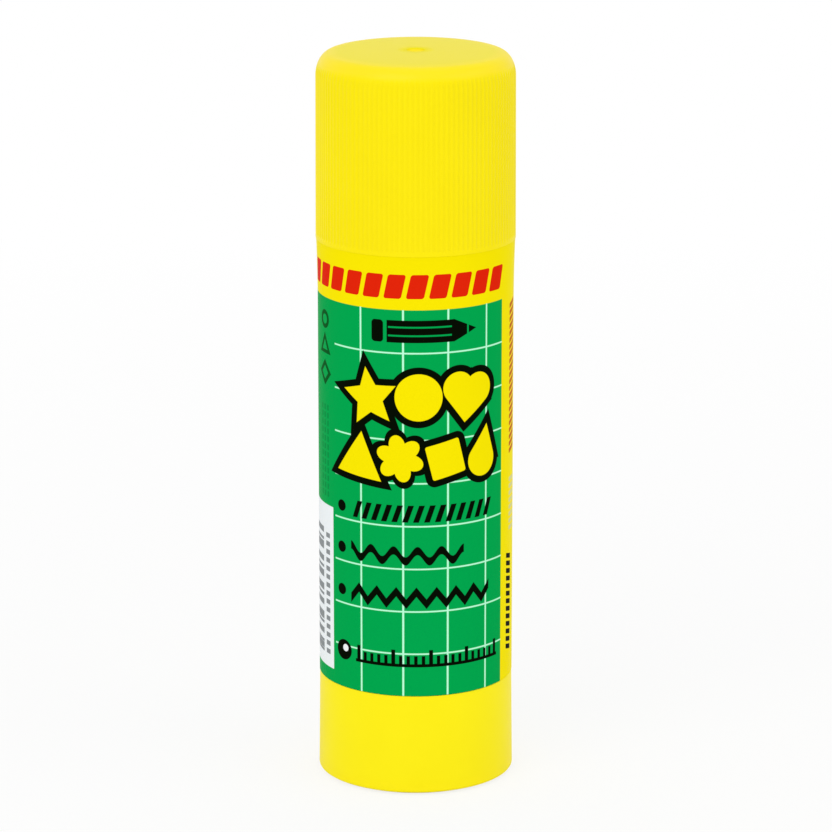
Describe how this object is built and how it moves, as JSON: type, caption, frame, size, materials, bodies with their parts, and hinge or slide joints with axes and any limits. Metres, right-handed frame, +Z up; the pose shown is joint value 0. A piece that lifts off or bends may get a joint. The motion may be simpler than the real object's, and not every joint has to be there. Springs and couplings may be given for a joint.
{
  "type": "glue stick",
  "caption": "Twist-up glue stick with a pull-off ribbed cap, a film-wrapped barrel, and a turning base whose screw lifts the glue.",
  "frame": {"origin": "middle of the foot ring, on the surface that the stick stands on", "axes": "+Z up along the stick towards the cap; -Y is the front of the printed film, +X to the right of someone who looks at the front"},
  "size_m": [0.0276, 0.0276, 0.1024],
  "materials": {
    "yellow_plastic": "satin",
    "printed_film": "satin",
    "white_plastic": "satin",
    "glue": "satin"
  },
  "bodies": {
    "barrel": {"barrel": "yellow_plastic", "label": "printed_film"},
    "cap": {"cap": "yellow_plastic"},
    "turning_base": {"turning_base": "yellow_plastic", "screw_spindle": "white_plastic"},
    "glue_carrier": {"glue_carrier": "white_plastic", "glue_stick": "glue"}
  },
  "joints": [
    {"name": "cap_pull", "type": "slide", "parent": "barrel", "child": "cap", "axis": [0, 0, 1], "range_m": [0, 0.04]},
    {"name": "base_turn", "type": "hinge", "parent": "barrel", "child": "turning_base", "pos_m": [0, 0, 0], "axis": [0, 0, 1], "range_deg": [0, 2880]},
    {"name": "carrier_lift", "type": "slide", "parent": "barrel", "child": "glue_carrier", "axis": [0, 0, 1], "range_m": [0, 0.0576], "deforming": ["glue_stick"]}
  ],
  "couplings": [
    {"joint": "base_turn", "follows": "carrier_lift", "rad_per_m": 872.66}
  ]
}
